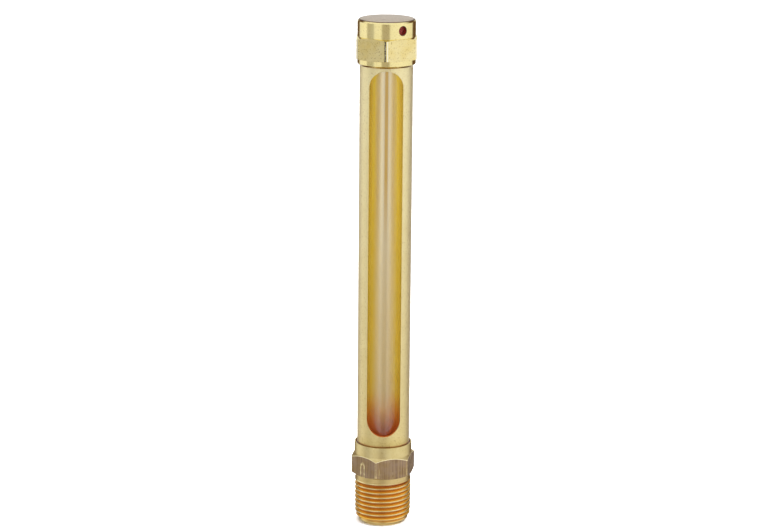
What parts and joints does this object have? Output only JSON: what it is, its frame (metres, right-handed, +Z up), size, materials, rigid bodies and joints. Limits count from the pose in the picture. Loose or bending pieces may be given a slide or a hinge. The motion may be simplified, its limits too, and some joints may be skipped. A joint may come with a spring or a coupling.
{
  "type": "column sight level gauge",
  "caption": "Upright brass level gauge: a clear tube behind a long round-ended window, a vented hex cap above and a hex fitting with a tapered pipe thread below.",
  "frame": {"origin": "centre of the inlet thread's end face, at the bottom", "axes": "+Z up the column towards the cap; the window faces -Y"},
  "size_m": [0.0192, 0.0206, 0.1546],
  "materials": {
    "turned_brass": "bright turned",
    "drawn_brass": "satin drawn tube",
    "clear_glass": "clear, polished",
    "red_rubber": "matte, brick red",
    "red_filter": "porous felt, brick red"
  },
  "bodies": {
    "base": {"base_fitting": "turned_brass", "base_gasket": "red_rubber", "sight_glass": "clear_glass"},
    "seal_ring": {"collar_seal": "red_rubber"},
    "shield": {"shield_tube": "drawn_brass"},
    "cap_rings": {"cap_gasket": "red_rubber", "thrust_washer": "turned_brass"},
    "cap": {"vent_cap": "turned_brass", "filter_retainer": "turned_brass", "vent_filter": "red_filter"}
  },
  "joints": [
    {"name": "shield_rise", "type": "slide", "parent": "base", "child": "seal_ring", "axis": [0, 0, 1], "range_m": [0, 0.00376]},
    {"name": "shield_turn", "type": "hinge", "parent": "seal_ring", "child": "shield", "pos_m": [0, 0, 0.024], "axis": [0, 0, 1], "range_deg": [0, 1441]},
    {"name": "cap_rise", "type": "slide", "parent": "shield", "child": "cap_rings", "axis": [0, 0, 1], "range_m": [0, 0.00564]},
    {"name": "cap_turn", "type": "hinge", "parent": "cap_rings", "child": "cap", "pos_m": [0, 0, 0.147], "axis": [0, 0, 1], "range_deg": [0, 2161]}
  ],
  "couplings": [
    {"joint": "shield_turn", "follows": "shield_rise", "rad_per_m": 6679},
    {"joint": "cap_turn", "follows": "cap_rise", "rad_per_m": 6679}
  ]
}
